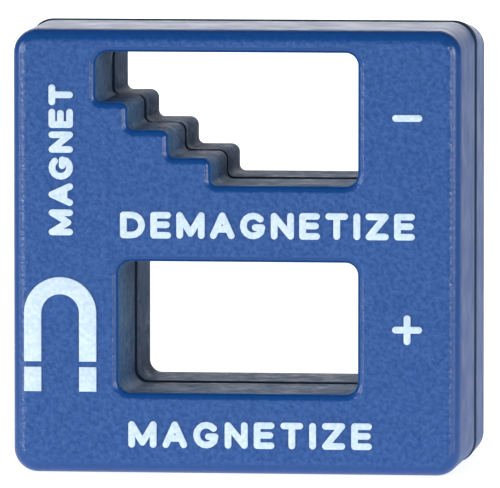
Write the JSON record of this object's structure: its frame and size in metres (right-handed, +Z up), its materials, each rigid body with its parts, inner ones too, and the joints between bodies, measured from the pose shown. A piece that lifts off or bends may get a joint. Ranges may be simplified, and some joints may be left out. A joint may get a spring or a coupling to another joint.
{
  "type": "magnetizer and demagnetizer block",
  "caption": "Square plastic block with a plain window that magnetizes small tools and a stepped window that demagnetizes them, in two shells around ferrite bar magnets.",
  "frame": {"origin": "middle of the footprint on the surface that the block stands on", "axes": "+X to the right of the front face, +Y from the front face to the back, +Z up"},
  "size_m": [0.05, 0.029, 0.0493],
  "materials": {
    "blue_shell": "blue moulded ABS with a fine spark-eroded texture, satin",
    "ferrite": "ground hard ferrite, dark grey, matte",
    "white_mark": "white hot-stamped marks, satin"
  },
  "bodies": {
    "root": {"bottom_magnet": "ferrite", "emblem_arch": "white_mark", "emblem_pole_left": "white_mark", "emblem_pole_right": "white_mark", "front_shell": "blue_shell", "middle_magnet": "ferrite", "minus_mark": "white_mark", "plus_mark": "white_mark", "rear_shell": "blue_shell", "word_demagnetize_01_d": "white_mark", "word_demagnetize_02_e": "white_mark", "word_demagnetize_03_m": "white_mark", "word_demagnetize_04_a": "white_mark", "word_demagnetize_05_g": "white_mark", "word_demagnetize_06_n": "white_mark", "word_demagnetize_07_e": "white_mark", "word_demagnetize_08_t": "white_mark", "word_demagnetize_09_i": "white_mark", "word_demagnetize_10_z": "white_mark", "word_demagnetize_11_e": "white_mark", "word_magnet_01_m": "white_mark", "word_magnet_02_a": "white_mark", "word_magnet_03_g": "white_mark", "word_magnet_04_n": "white_mark", "word_magnet_05_e": "white_mark", "word_magnet_06_t": "white_mark", "word_magnetize_01_m": "white_mark", "word_magnetize_02_a": "white_mark", "word_magnetize_03_g": "white_mark", "word_magnetize_04_n": "white_mark", "word_magnetize_05_e": "white_mark", "word_magnetize_06_t": "white_mark", "word_magnetize_07_i": "white_mark", "word_magnetize_08_z": "white_mark", "word_magnetize_09_e": "white_mark"}
  },
  "joints": []
}
